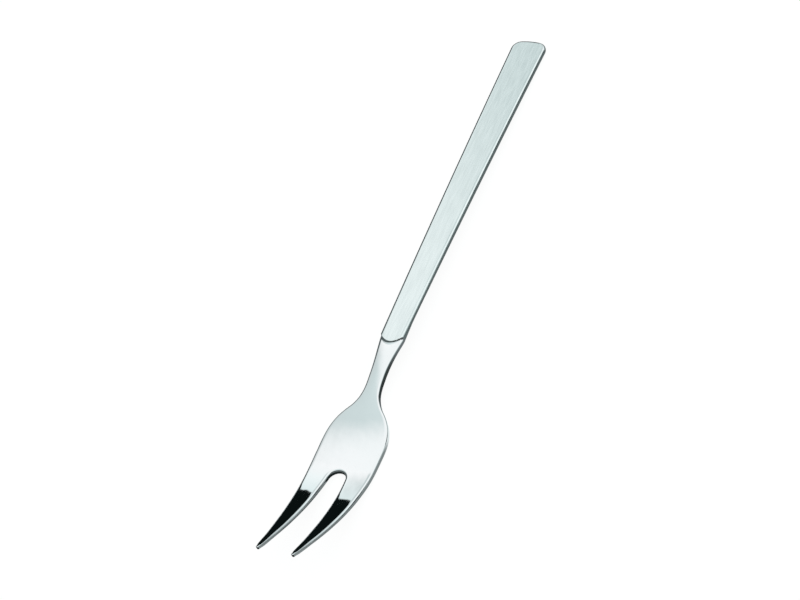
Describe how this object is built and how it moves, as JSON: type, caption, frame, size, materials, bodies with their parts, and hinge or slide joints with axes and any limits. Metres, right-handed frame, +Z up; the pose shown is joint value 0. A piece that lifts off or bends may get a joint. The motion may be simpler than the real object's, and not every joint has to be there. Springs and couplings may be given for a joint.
{
  "type": "meat fork",
  "caption": "Solid steel meat fork with a flat matte handle stepped down to a polished neck, a shallow bowl and upswept tines for lifting slices of meat.",
  "frame": {"origin": "centre of the fork's length and width, on the surface that it lies on", "axes": "+Y along the length towards the far end of the handle, tines towards -Y, +Z up, +X across, towards the right seen from above with the tines at the bottom"},
  "size_m": [0.0208, 0.2006, 0.0176],
  "materials": {
    "stainless_steel": "satin brushed handle, mirror polished neck, bowl, tines and edges"
  },
  "bodies": {
    "root": {"meat_fork": "stainless_steel"}
  },
  "joints": []
}
